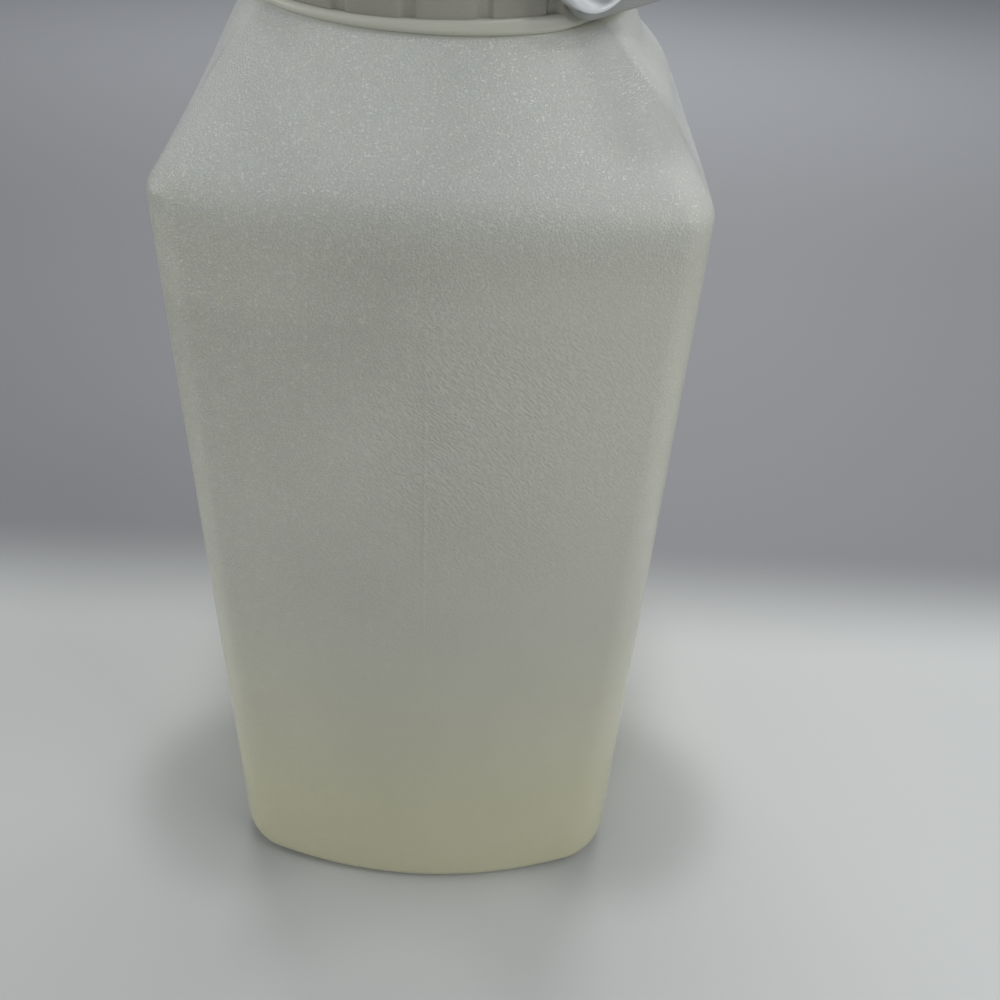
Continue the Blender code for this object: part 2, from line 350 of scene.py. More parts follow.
class CapSettings(PropertyGroup):
    """Sizes of the screw cap."""

    radius: length("Radius", "Radius over the panels of the skirt", (CAP_HIGH.x - CAP_LOW.x) / 2)
    bottom: length("Bottom", "Height of the skirt's lower edge", BODY_HIGH.z - 0.1 * MM)
    top: length("Top", "Height of the cap's top", CAP_HIGH.z)
    edge: length("Top edge radius", "Rounding between the skirt and the top", 2.0 * MM)
    lower_edge: length("Lower edge radius", "Rounding of the skirt's lower edge", 0.35 * MM)
    panels: IntProperty(name="Panels", description="How many panels the skirt has", default=19, min=3)
    first_groove: angle("First groove", "Angle of one groove round from the front, towards +X", 11.9)
    groove_width: length("Groove width", "Width of the grooves between the panels", 2.8 * MM)
    groove_depth: length("Groove depth", "Depth of the grooves", 0.75 * MM)
    groove_round: length("Groove rounding", "How wide the rounded sides of a groove are", 0.55 * MM)
    groove_margin: length("Groove margin", "Distance from the grooves' upper ends to the top", 4.0 * MM)
    recess: length("Top recess", "How far the top lies below its rim", 0.6 * MM)
    rim: length("Top rim", "Width of the rim round the top", 4.5 * MM)


# How long a groove's rounded upper end is, how far below and above it the rows lie closer, and the top's
# rings, as shares of its sunk middle, with the width of the slope down to it.
GROOVE_END = 1.0 * MM
BELOW_END, ABOVE_END = 1.2 * MM, 0.2 * MM
TOP_RINGS = (0.85, 0.65, 0.45, 0.25, 0.1)
TOP_SLOPE = 1.2 * MM


def groove_stations(cap):
    """Angles round the cap, close together in and beside each groove."""
    half = cap.groove_width / 2
    soft = cap.groove_round
    near_side = band(-half - soft, -half + soft, 6)
    bottom = band(-half + soft, half - soft, 4)
    far_side = band(half - soft, half + soft, 6, last=True)
    offsets = np.concatenate([near_side, bottom, far_side]) / cap.radius
    pitch = math.tau / cap.panels
    panel = band(offsets[-1], offsets[0] + pitch, 9)[1:]
    one = np.concatenate([offsets, panel])
    return np.concatenate([one + pitch * number for number in range(cap.panels)]) + cap.first_groove


def groove_depth_at(cap, angles, height):
    """Depth of the skirt's grooves at these angles and heights."""
    pitch = math.tau / cap.panels
    away = np.abs((angles - cap.first_groove + pitch / 2) % pitch - pitch / 2) * cap.radius
    across = smooth(cap.groove_width / 2 + cap.groove_round - away, 0, 2 * cap.groove_round)
    below_end = smooth(cap.top - cap.groove_margin - height, 0, GROOVE_END)
    return cap.groove_depth * across * below_end


def cap_points(cap):
    angles = groove_stations(cap)
    circle = np.stack([np.sin(angles), -np.cos(angles)], axis=1)
    margin = cap.top - cap.groove_margin
    profile = [(0.3 * cap.radius, cap.bottom), (cap.radius - 3 * cap.lower_edge, cap.bottom)]
    for turn in band(-math.pi / 2, 0.0, 4):
        radius = cap.radius - cap.lower_edge + cap.lower_edge * math.cos(turn)
        profile.append((radius, cap.bottom + cap.lower_edge * (1 + math.sin(turn))))
    skirt = (
        band(cap.bottom + cap.lower_edge, margin - BELOW_END, 12),
        band(margin - BELOW_END, margin + ABOVE_END, 8),
        band(margin + ABOVE_END, cap.top - cap.edge, 3),
    )
    profile += [(cap.radius, height) for height in np.concatenate(skirt)]
    for turn in band(0.0, math.pi / 2, 9, last=True):
        radius = cap.radius - cap.edge + cap.edge * math.cos(turn)
        profile.append((radius, cap.top - cap.edge + cap.edge * math.sin(turn)))
    inner = cap.radius - cap.rim
    for amount in band(0.0, 1.0, 6, last=True):
        profile.append((inner - amount * TOP_SLOPE, cap.top - cap.recess * smooth(amount, 0, 1)))
    floor = cap.top - cap.recess
    profile += [(inner * amount, floor) for amount in TOP_RINGS]
    rows = []
    for radius, height in profile:
        depth = groove_depth_at(cap, angles, height) * (radius > cap.radius - 0.5 * cap.edge)
        rows.append(np.column_stack([circle * (radius - depth)[:, None], np.full(len(angles), height)]))
    return np.array(rows)


class TabSettings(PropertyGroup):
    """Sizes and place of the side tab and its stud."""

    turn: angle("Angle", "Direction in which the tab and the stud face, round from the front", 38.0)
    tilt: angle("Tilt", "How far the tab rises towards its free end", 6.0)
    clearance: length("Clearance", "Gap between the cap's skirt and the tab", 0.5 * MM)
    drop: length("Drop", "How far the tab's low corner hangs below the cap's skirt", 0.2 * MM)
    thickness: length("Thickness", "Thickness of the tab", 2.0 * MM)
    height: length("Height", "Height of the tab", 20.0 * MM)
    back_end: length("Back end", "Where the tab begins, along its own plane", -5.0 * MM)
    free_end: length("Free end", "Where the tab ends, along its own plane", 26.0 * MM)
    corner: length("Corner radius", "Radius of the tab's corners", 7.0 * MM)
    edge: length("Edge radius", "Rounding of the tab's edges", 0.6 * MM)
    stud_radius: length("Stud radius", "Radius of the stud", (STUD_HIGH.z - STUD_LOW.z) / 2)
    stud_height: length("Stud height", "Height of the stud's middle", STUD_MIDDLE + 0.4 * MM)
    stud_along: length("Stud place", "Where the stud sits along the tab", -1.0 * MM)
    stud_thickness: length("Stud thickness", "How far the stud stands out", 4.4 * MM)
    stud_rim: length("Stud rim", "Radius of the stud's rounded rim", 0.6 * MM)
    stud_dish: length("Stud dish", "How deep the stud's face is dished", 2.8 * MM)
    stud_wall: length("Stud wall", "Width of the rounded wall inside the stud's rim", 5.0 * MM)
    stud_gap: length("Stud gap", "Gap between the tab and the stud", 0.3 * MM)
    # The dish's grey is painted shade, set towards the tab's free end.
    stud_shade: length("Stud shade", "How far the dish's grey sits towards the tab's free end", 2.8 * MM)


# Rings on the tab's flat faces, by their distance from its outline.
TAB_RINGS = (1.4 * MM, 3.0 * MM, 6.5 * MM)

# The stud's chamfered foot, how far round its rim turns, and how its inner wall steepens.
STUD_FOOT = 0.4 * MM
STUD_RIM_TURN = math.radians(150)
STUD_WALL_CURVE = 1.5


def tab_plane(tab, cap, along, out, height):
    """A matrix on the tab's plane: X runs along the tab, Y points out of it, Z is up."""
    turn = Matrix.Rotation(tab.turn, 4, "Z")
    flip = Matrix.Diagonal((1.0, -1.0, 1.0, 1.0))
    return turn @ Matrix.Translation((along, -(cap.radius + tab.clearance + out), height)) @ flip


def rounded_outline(half_length, half_height, corner, steps):
    """Points round a rounded rectangle in its own plane, anticlockwise."""
    points = []
    for quarter in range(4):
        sign_x = 1 if quarter in (0, 3) else -1
        sign_y = 1 if quarter in (0, 1) else -1
        centre = np.array([sign_x * (half_length - corner), sign_y * (half_height - corner)])
        for turn in band(0.0, math.pi / 2, steps, last=True):
            way = turn + quarter * math.pi / 2
            points.append(centre + corner * np.array([math.cos(way), math.sin(way)]))
    return np.array(points)


def tab_points(tab):
    """Rings of the tab from the middle of its inner face to the middle of its outer face."""
    half_length = (tab.free_end - tab.back_end) / 2
    rim = []
    for turn in band(-math.pi / 2, 0.0, 5):
        rim.append((tab.edge * (1 - math.cos(turn)), tab.edge * (1 + math.sin(turn))))
    for turn in band(0.0, math.pi / 2, 5, last=True):
        rim.append((tab.edge * (1 - math.cos(turn)), tab.thickness - tab.edge * (1 - math.sin(turn))))
    rings = []
    inner = [(inset, 0.0) for inset in reversed(TAB_RINGS)]
    outer = [(inset, tab.thickness) for inset in TAB_RINGS]
    for inset, out in inner + rim + outer:
        corner = max(tab.corner - inset, 0.3 * MM)
        outline = rounded_outline(half_length - inset, tab.height / 2 - inset, corner, 10)
        rings.append(np.column_stack([outline[:, 0], np.full(len(outline), out), outline[:, 1]]))
    return np.array(rings)


def turned_mesh(name, profile, steps):
    """A piece turned round Z from (radius, height) points, bottom first."""
    angles = band(0.0, math.tau, steps)
    circle = np.stack([np.cos(angles), np.sin(angles)], axis=1)
    rows = [np.column_stack([circle * radius, np.full(steps, height)]) for radius, height in profile]
    return grid_mesh(name, np.array(rows))


def stud_profile(tab):
    """The stud's outline: a chamfered foot, a narrow rounded rim and a deep dish with a round wall."""
    outer, rim = tab.stud_radius, tab.stud_rim
    profile = [(0.5 * outer, 0.0), (outer - STUD_FOOT, 0.0), (outer, STUD_FOOT)]
    centre_radius, centre_height = outer - rim, tab.stud_thickness - rim
    for turn in band(0.0, STUD_RIM_TURN, 14, last=True):
        profile.append((centre_radius + rim * math.cos(turn), centre_height + rim * math.sin(turn)))
    wall_radius, wall_top = profile[-1]
    floor = tab.stud_thickness - tab.stud_dish
    for turn in band(0.0, math.pi / 2, 12, last=True)[1:]:
        height = floor + (wall_top - floor) * (1 - math.sin(turn)) ** STUD_WALL_CURVE
        profile.append((wall_radius - tab.stud_wall * math.sin(turn), height))
    inner = profile[-1][0]
    profile += [(inner * amount, floor) for amount in (0.75, 0.5, 0.25)]
    return profile


class FinishSettings(PropertyGroup):
    """Colours and surface values."""

    # The jug's colours up its height are partly painted light: the warmer, paler foot stands for the floor's
    # light shining through the plastic, and the paler shoulder for the light from above.
    milk_high: colour("Milky plastic, shoulder", "Colour of the jug's shoulder", (0.635, 0.648, 0.615))
    milk_middle: colour("Milky plastic, wall", "Colour halfway up the wall", (0.576, 0.578, 0.502))
    milk_low: colour("Milky plastic, base", "Warmer colour near the base", (0.63, 0.612, 0.425))
    milk_collar: colour("Milky plastic, collar", "Colour of the smooth collar", (0.545, 0.55, 0.475))
    # Painted glints: paler specks on the grain's peaks where the highlights fall.
    painted_glint_shine: share("Painted glints", "How much paler the polished peaks of the grain are", 0.23)
    # Painted shade on the shoulder's right corners.
    painted_corner_shade: share("Painted corner shade", "How much darker the shoulder's right corners are", 0.17)
    # Painted light on the shoulder's sides.
    painted_side_light: share("Side shoulder", "How much paler the shoulder's sides are than its front", 0.13)
    # Painted light on the wall's left side.
    painted_left_light: share("Pale left", "How much paler the plastic is on the left", 0.2)
    # Painted light along the left upright corners.
    painted_edge_light: share("Painted edge light", "How much paler the left upright corners are", 0.09)
    # Painted light on the wall just under the shoulder's edge.
    painted_wall_top_light: share("Pale top", "How much paler the wall is under the shoulder's edge", 0.055)
    # Painted light on the upper front of the shoulder.
    painted_shoulder_light: share("Pale shoulder", "How much paler the upper shoulder's front is", 0.09)
    milk_roughness: share("Jug roughness", "Roughness of the jug's wall", 0.21)
    shoulder_roughness: share("Shoulder roughness", "Roughness of the glossier shoulder", 0.14)
    grain_size: length("Grain size", "Width of one fold of the moulded grain", 0.38 * MM)
    grain_depth: length("Grain depth", "Depth of the moulded grain", 0.17 * MM)
    shoulder_grain: share("Shoulder grain", "The shoulder's grain, as a share of the wall's", 0.47)
    cap_grey: colour("Cap grey", "Colour of the cap", (0.345, 0.338, 0.283))
    tab_grey: colour("Tab grey", "Colour of the tab", (0.315, 0.325, 0.31))
    stud_white: colour("Stud white", "Colour of the stud's rim", (0.74, 0.76, 0.78))
    # The grey of the stud's dish is painted shade on the white plastic.
    stud_painted_shade: colour("Stud inside", "Colour of the stud's dished middle", (0.36, 0.375, 0.385))


class StageSettings(PropertyGroup):
    """Floor, lights and camera."""

    floor: colour("Floor", "Colour of the floor", (0.665, 0.68, 0.675))
    # The far floor's darker colour is painted shade.
    floor_painted_far_shade: colour("Far floor", "Colour of the floor far from the jug", (0.25, 0.256, 0.272))
    camera_distance: length("Camera distance", "From the jug's axis, measured level", 251.42 * MM)
    camera_height: length("Camera height", "Height of the camera above the floor", 282.2 * MM)
    camera_side: angle("Camera side", "How far the camera stands round from the front", 2.7735)
    camera_heading: angle("Camera heading", "Which way the camera looks, from +Y towards +X", 1.2773)
    camera_pitch: angle("Camera pitch", "How far the camera looks down", 37.285)
    camera_roll: angle("Camera roll", "How far the camera leans", 3.512)
    camera_view: angle("Field of view", "Width of the picture", 49.22)
    room: FloatProperty(name="Room light", description="Strength of the even light", default=0.276)
    brightness: FloatProperty(name="Brightness", description="Strength of all lights together", default=1.0)


# Each light: name, place, what it points at, width and height, power.
LIGHTS = (
    ("right_key", (0.8, -0.35, 0.55), (0.0, 0.0, 0.12), (0.35, 0.35), 1.8),
    ("right_high", (0.75, 0.15, 0.75), (0.0, 0.0, 0.16), (0.4, 0.4), 0.9),
    ("left_fill", (-0.7, -0.5, 0.6), (0.0, 0.0, 0.12), (0.5, 0.5), 0.62),
    ("left_side", (-0.9, 0.0, 0.35), (0.0, 0.0, 0.12), (0.5, 0.5), 1.2),
    ("back_light", (0.0, 0.75, 0.7), (0.0, 0.0, 0.12), (0.9, 0.5), 5.35),
    ("top_left", (-0.55, 0.0, 0.9), (0.0, 0.0, 0.12), (0.5, 0.9), 0.5),
    ("low_front", (0.0, -1.0, 0.25), (0.0, 0.0, 0.12), (0.9, 0.4), 0.6),
    ("small_top", (0.39, -0.40, 1.08), (0.02, -0.05, 0.2), (0.14, 0.14), 0.75),
)

# The colour of the room's even light.
ROOM_TINT = (0.97, 1.0, 1.03, 1.0)

# How the node editor's columns are laid out.
NODES_IN_COLUMN = 8
NODE_STEP_X, NODE_STEP_Y = 240, 200
NODES_START_X = 3000

# Which of a noise's values become the grain's valleys and peaks, and a drift's patches.
FOLD_CONTRAST = (0.28, 0.72)
DRIFT_PATCHES = (0.3, 0.7)

# The grey plastic's grain and how uneven its roughness is, and the white plastic's roughness.
GREY_GRAIN_DEPTH = 0.03 * MM
GREY_UNEVEN = 0.05
WHITE_ROUGHNESS = (0.12, 0.22)

# The stud's painted shade: how far its grey reaches from the shaded point, and from the stud's middle.
FROM_SHADED = (7.8 * MM, 9.2 * MM)
FROM_MIDDLE = (8.2 * MM, 9.1 * MM)


def new_material(name):
    material = bpy.data.materials.new(name)
    material.use_nodes = True
    tree = material.node_tree
    return material, tree, tree.nodes["Principled BSDF"]


def add_node(tree, kind, **values):
    """A node after the others in the tree; values set its own properties or its named inputs."""
    made = tree.nodes.new(kind)
    column, line = divmod(len(tree.nodes), NODES_IN_COLUMN)
    made.location = (NODE_STEP_X * column - NODES_START_X, -NODE_STEP_Y * line)
    for name, value in values.items():
        if name in made.bl_rna.properties:
            setattr(made, name, value)
        else:
            made.inputs[name.replace("_", " ")].default_value = value
    return made


def feed(tree, value, target):
    """Links a socket to an input, or sets the input to a value; a colour gets an alpha of 1."""
    if isinstance(value, bpy.types.NodeSocket):
        tree.links.new(value, target)
    else:
        target.default_value = (*value, 1.0) if target.type == "RGBA" else value


def math_node(tree, operation, first, second):
    """A Math node's result; first and second are numbers or sockets."""
    made = add_node(tree, "ShaderNodeMath", operation=operation)
    feed(tree, first, made.inputs[0])
    feed(tree, second, made.inputs[1])
    return made.outputs[0]


def vector_node(tree, operation, *vectors):
    """A Vector Math node that works on one or two vectors or sockets."""
    made = add_node(tree, "ShaderNodeVectorMath", operation=operation)
    for vector, target in zip(vectors, made.inputs):
        feed(tree, vector, target)
    return made


def product(tree, *values):
    """Numbers or sockets multiplied together in their order."""
    made = values[0]
    for value in values[1:]:
        made = math_node(tree, "MULTIPLY", made, value)
    return made


def ramp(tree, source, low, high, to_low=0.0, to_high=1.0):
    """A smooth mask that runs from to_low at low to to_high at high."""
    made = add_node(
        tree,
        "ShaderNodeMapRange",
        interpolation_type="SMOOTHSTEP",
        From_Min=low,
        From_Max=high,
        To_Min=to_low,
        To_Max=to_high,
    )
    tree.links.new(source, made.inputs["Value"])
    return made.outputs["Result"]


def ramps(tree, *pairs):
    """Smooth masks multiplied together, each given as its source and its limits."""
    return product(tree, *[ramp(tree, source, *limits) for source, limits in pairs])


def near(tree, where, centre, inner, outer):
    """A mask round a point, line or level: 1 inside inner, 0 outside outer; None leaves a direction out."""
    flat = vector_node(tree, "MULTIPLY", where, [0.0 if value is None else 1.0 for value in centre])
    away = vector_node(tree, "DISTANCE", flat.outputs["Vector"], [value or 0.0 for value in centre])
    return ramp(tree, away.outputs["Value"], inner, outer, 1.0, 0.0)


def lifted(tree, tone, mask, by):
    """A tone made paler by a share where the mask is 1, or darker where the share is below 0."""
    return product(tree, tone, ramp(tree, mask, 0.0, 1.0, 1.0, 1.0 + by))


def mix(tree, amount, first, second, kind="RGBA"):
    """A Mix node of colours or floats; amount, first and second are values or sockets."""
    made = add_node(tree, "ShaderNodeMix", data_type=kind)
    start = 6 if kind == "RGBA" else 2
    for number, value in ((0, amount), (start, first), (start + 1, second)):
        feed(tree, value, made.inputs[number])
    return made.outputs[2 if kind == "RGBA" else 0]


def scaled_colour(tree, colour_socket, factor):
    """A colour times a number."""
    made = vector_node(tree, "SCALE", colour_socket)
    tree.links.new(factor, made.inputs["Scale"])
    return made.outputs["Vector"]


def place_on_piece(tree):
    """The place on the piece in its own coordinates."""
    return add_node(tree, "ShaderNodeTexCoord").outputs["Object"]


def split_up(tree, vector):
    """A vector's X, Y and Z."""
    split = add_node(tree, "ShaderNodeSeparateXYZ")
    tree.links.new(vector, split.inputs["Vector"])
    return split.outputs["X"], split.outputs["Y"], split.outputs["Z"]


def add_relief(tree, shader, height, distance):
    relief = add_node(tree, "ShaderNodeBump", Strength=1.0, Distance=distance)
    tree.links.new(height, relief.inputs["Height"])
    tree.links.new(relief.outputs["Normal"], shader.inputs["Normal"])


def new_group(name, inputs, outputs):
    """A shader node group with inputs (name, kind, default) and outputs (name, kind)."""
    group = bpy.data.node_groups.new(name, "ShaderNodeTree")
    for title, kind, default in inputs:
        socket = group.interface.new_socket(name=title, in_out="INPUT", socket_type=kind)
        if default is not None:
            socket.default_value = default
    for title, kind in outputs:
        group.interface.new_socket(name=title, in_out="OUTPUT", socket_type=kind)
    return group, add_node(group, "NodeGroupInput"), add_node(group, "NodeGroupOutput")


def use_group(tree, name, source, **values):
    made = add_node(tree, "ShaderNodeGroup", node_tree=bpy.data.node_groups[name], **values)
    tree.links.new(source, made.inputs["Vector"])
    return made


def grain_group():
    """Moulded grain: short folds of one width, drawn out along a slanting line."""
    group, start, end = new_group(
        "Moulded Grain",
        [
            ("Vector", "NodeSocketVector", None),
            ("Fold Width", "NodeSocketFloat", 1.0 * MM),
            ("Stretch", "NodeSocketFloat", 1.0),
            ("Slant", "NodeSocketFloat", 0.0),
        ],
        [("Height", "NodeSocketFloat")],
    )
    link = group.links.new
    spin = add_node(group, "ShaderNodeVectorRotate", rotation_type="Y_AXIS")
    link(start.outputs["Vector"], spin.inputs["Vector"])
    link(start.outputs["Slant"], spin.inputs["Angle"])
    per_fold = math_node(group, "DIVIDE", 1.0, start.outputs["Fold Width"])
    along = math_node(group, "DIVIDE", per_fold, start.outputs["Stretch"])
    sizes = add_node(group, "ShaderNodeCombineXYZ")
    for source, axis in ((along, "X"), (per_fold, "Y"), (per_fold, "Z")):
        link(source, sizes.inputs[axis])
    scaled = vector_node(group, "MULTIPLY", spin.outputs["Vector"], sizes.outputs["Vector"])
    folds = add_node(group, "ShaderNodeTexNoise", Scale=1.0, Detail=1.0, Roughness=0.45)
    link(scaled.outputs["Vector"], folds.inputs["Vector"])
    link(ramp(group, folds.outputs["Fac"], *FOLD_CONTRAST), end.inputs["Height"])


def drift_group():
    """Slow drift of a plastic's colour, in patches."""
    group, start, end = new_group(
        "Colour Drift",
        [
            ("Vector", "NodeSocketVector", None),
            ("Color", "NodeSocketColor", (0.5, 0.5, 0.5, 1.0)),
            ("Patch Size", "NodeSocketFloat", 30.0 * MM),
            ("Amount", "NodeSocketFloat", 0.05),
        ],
        [("Color", "NodeSocketColor"), ("Patch", "NodeSocketFloat")],
    )
    link = group.links.new
    per_patch = math_node(group, "DIVIDE", 1.0, start.outputs["Patch Size"])
    drift = add_node(group, "ShaderNodeTexNoise", Detail=2.0, Roughness=0.5)
    link(start.outputs["Vector"], drift.inputs["Vector"])
    link(per_patch, drift.inputs["Scale"])
    centred = math_node(group, "SUBTRACT", drift.outputs["Fac"], 0.5)
    around_one = math_node(group, "ADD", product(group, centred, start.outputs["Amount"]), 1.0)
    link(scaled_colour(group, start.outputs["Color"], around_one), end.inputs["Color"])
    link(drift.outputs["Fac"], end.inputs["Patch"])


def shared_groups():
    for name, make in (("Moulded Grain", grain_group), ("Colour Drift", drift_group)):
        if name not in bpy.data.node_groups:
            make()


# How the jug's plastic changes with height: from, to, and the values there where they aren't 0 and 1.
# WARM_FOOT and SHOULDER_TINT blend in that painted light: the warm foot and the paler shoulder.
WARM_FOOT = (0.0, 0.115)
SHOULDER_TINT = (0.193, 0.207)
COLLAR_TINT = (227.4 * MM, 228.6 * MM)
GRAIN_GROWS = (70 * MM, 195 * MM, 0.15, 1.6)
GRAIN_TO_SHOULDER = (198 * MM, 206 * MM, 1.0)
# Heights where the painted glints begin and grow.
GLINTS_BEGIN = (100 * MM, 170 * MM)
GLINTS_GROW = (198 * MM, 203 * MM, 0.35, 1.0)
# Where the painted shade on the right corners begins.
RIDGE_BEGINS = (206 * MM, 213 * MM)
# Where the painted light on the shoulder's sides begins.
SIDE_BEGINS = (200 * MM, 206 * MM)
# How the painted light on the left grows and fades with height.
LEFT_GROWS = (80 * MM, 150 * MM, 0.4, 1.0)
LEFT_LESS_ABOVE = (192 * MM, 206 * MM, 1.0, 0.55)
# Painted light: the wall darker low down and paler higher up.
PAINTED_LIGHT_UP = (100 * MM, 165 * MM, 0.955, 1.06)
# Where the painted light on the upright corners fades.
CORNER_LESS_ABOVE = (190 * MM, 202 * MM, 1.0, 0.3)
GLOSS_TO_SHOULDER = (196 * MM, 206 * MM)

# How it changes across, from left to right: the grain, and the painted shade and light.
GRAIN_ACROSS = (-50 * MM, 50 * MM, 2.5, 0.55)
RIDGE_ON_RIGHT = (-10 * MM, 10 * MM)
PALE_ON_LEFT = (-44 * MM, 10 * MM, 1.0, 0.0)
CORNER_ON_LEFT = (-10 * MM, 10 * MM, 1.0, 0.1)
TOP_LESS_RIGHT = (-20 * MM, 35 * MM, 1.0, 0.35)

# How the painted shade and light change round the shoulder, by |X| / |Y|, which is about 1 along a corner.
RIDGE_TO_CORNER = (0.5, 0.95)
RIDGE_ENDS = (1.22, 1.45, 1.0, 0.0)
ON_SIDE = (1.15, 1.9)

# Places where it changes: X, Y and Z, with None for any, then the inner and outer reach.
SLANTING_FOLDS = ((24 * MM, None, 146 * MM), 20 * MM, 58 * MM)
# GLINTS_ON_TOP and GLINTS_ON_EDGE gather the painted glints where the shoulder's highlights fall.
GLINTS_ON_TOP = ((20 * MM, None, 219 * MM), 6 * MM, 24 * MM)
GLINTS_ON_EDGE = ((46 * MM, None, 205 * MM), 5 * MM, 20 * MM)
# Painted light on the upright corners.
PAINTED_LIGHT_CORNERS = ((54 * MM, 55 * MM, None), 3 * MM, 8 * MM)
# Painted light under the shoulder's edge.
PAINTED_LIGHT_WALL_TOP = ((None, None, 190 * MM), 5 * MM, 16 * MM)
# Painted light on the shoulder's upper front.
PAINTED_LIGHT_UPPER_FRONT = ((-14 * MM, None, 222 * MM), 6 * MM, 24 * MM)

# The folds' slant, how much longer than wide they and the fine grain are, and how much coarser the folds.
FOLD_SLANT = math.radians(-43)
FOLD_STRETCH, FINE_STRETCH = 2.3, 1.2
FOLD_COARSER = 1.25

# How the grain tints the plastic, partly its own mottle and partly painted shade in its valleys and painted
# light on its ridges, which of its heights are peaks, and how the gathered glints vary.
GRAIN_TINT = (-0.5, 0.5, 0.97, 1.03)
# GRAIN_PEAKS picks the peaks that carry painted glints, and GLINTS_GATHER sets how strong they are where
# they gather.
GRAIN_PEAKS = (0.9, 1.0)
GLINTS_GATHER = (0.0, 1.0, 0.7, 1.05)

# How much duller the collar is, and how the jug's roughness drifts in patches.
COLLAR_DULLER = (0.0, 1.0, 0.0, 0.16)
ROUGHNESS_DRIFT = (0.3, 0.7, -0.03, 0.04)


def grain_height(tree, finish, where, below_collar):
    """The height of the jug's grain, and of its fine part alone."""
    sideways, _, height = split_up(tree, where)
    width = finish.grain_size
    fine = use_group(tree, "Moulded Grain", where, Fold_Width=width, Stretch=FINE_STRETCH)
    coarser = FOLD_COARSER * width
    folds = use_group(
        tree, "Moulded Grain", where, Fold_Width=coarser, Stretch=FOLD_STRETCH, Slant=FOLD_SLANT
    )
    slanting = near(tree, where, *SLANTING_FOLDS)
    grain = mix(tree, slanting, fine.outputs["Height"], folds.outputs["Height"], "FLOAT")
    by_place = ramps(tree, (height, GRAIN_GROWS), (sideways, GRAIN_ACROSS))
    to_shoulder = ramp(tree, height, *GRAIN_TO_SHOULDER, finish.shoulder_grain)
    strength = product(tree, by_place, below_collar, to_shoulder)
    return product(tree, math_node(tree, "SUBTRACT", grain, 0.5), strength), fine.outputs["Height"]


def glints(tree, finish, where, fine, below_collar):
    """Painted glints: pale peaks of the fine grain, gathered in two places where the highlights fall."""
    height = split_up(tree, where)[2]
    on_top = near(tree, where, *GLINTS_ON_TOP)
    on_edge = near(tree, where, *GLINTS_ON_EDGE)
    gathered = ramp(tree, math_node(tree, "MAXIMUM", on_top, on_edge), *GLINTS_GATHER)
    glossy = product(tree, ramps(tree, (height, GLINTS_GROW), (height, GLINTS_BEGIN)), below_collar)
    return product(tree, ramp(tree, fine, *GRAIN_PEAKS), product(tree, glossy, gathered), finish.painted_glint_shine)


def with_painted_light_and_shade(tree, finish, tone, where, below_collar):
    """The tone paler up the wall, with painted shade on the right corners and painted light on the sides,
    left, corners, wall top and upper front.
    """
    sideways, _, height = split_up(tree, where)
    in_corner = vector_node(tree, "ABSOLUTE", where).outputs["Vector"]
    plan_x, plan_y, _ = split_up(tree, in_corner)
    slope = math_node(tree, "DIVIDE", plan_x, plan_y)
    to_corner = ramps(tree, (slope, RIDGE_TO_CORNER), (slope, RIDGE_ENDS))
    ridge = product(tree, to_corner, ramps(tree, (sideways, RIDGE_ON_RIGHT), (height, RIDGE_BEGINS)))
    side = ramps(tree, (slope, ON_SIDE), (height, SIDE_BEGINS))
    left = ramps(tree, (sideways, PALE_ON_LEFT), (height, LEFT_GROWS), (height, LEFT_LESS_ABOVE))
    corners = near(tree, in_corner, *PAINTED_LIGHT_CORNERS)
    upright = product(tree, corners, ramps(tree, (height, CORNER_LESS_ABOVE), (sideways, CORNER_ON_LEFT)))
    wall_top = product(tree, near(tree, where, *PAINTED_LIGHT_WALL_TOP), ramp(tree, sideways, *TOP_LESS_RIGHT))
    upper_front = product(tree, near(tree, where, *PAINTED_LIGHT_UPPER_FRONT), below_collar)
    # Painted light: darker low on the wall, paler higher up.
    tone = product(tree, tone, ramp(tree, height, *PAINTED_LIGHT_UP))
    # Painted shade on the right corners, painted light everywhere else.
    for mask, by in (
        (ridge, -finish.painted_corner_shade),
        (side, finish.painted_side_light),
        (product(tree, left, below_collar), finish.painted_left_light),
        (upright, finish.painted_edge_light),
        (wall_top, finish.painted_wall_top_light),
        (upper_front, finish.painted_shoulder_light),
    ):
        tone = lifted(tree, tone, mask, by)
    return tone


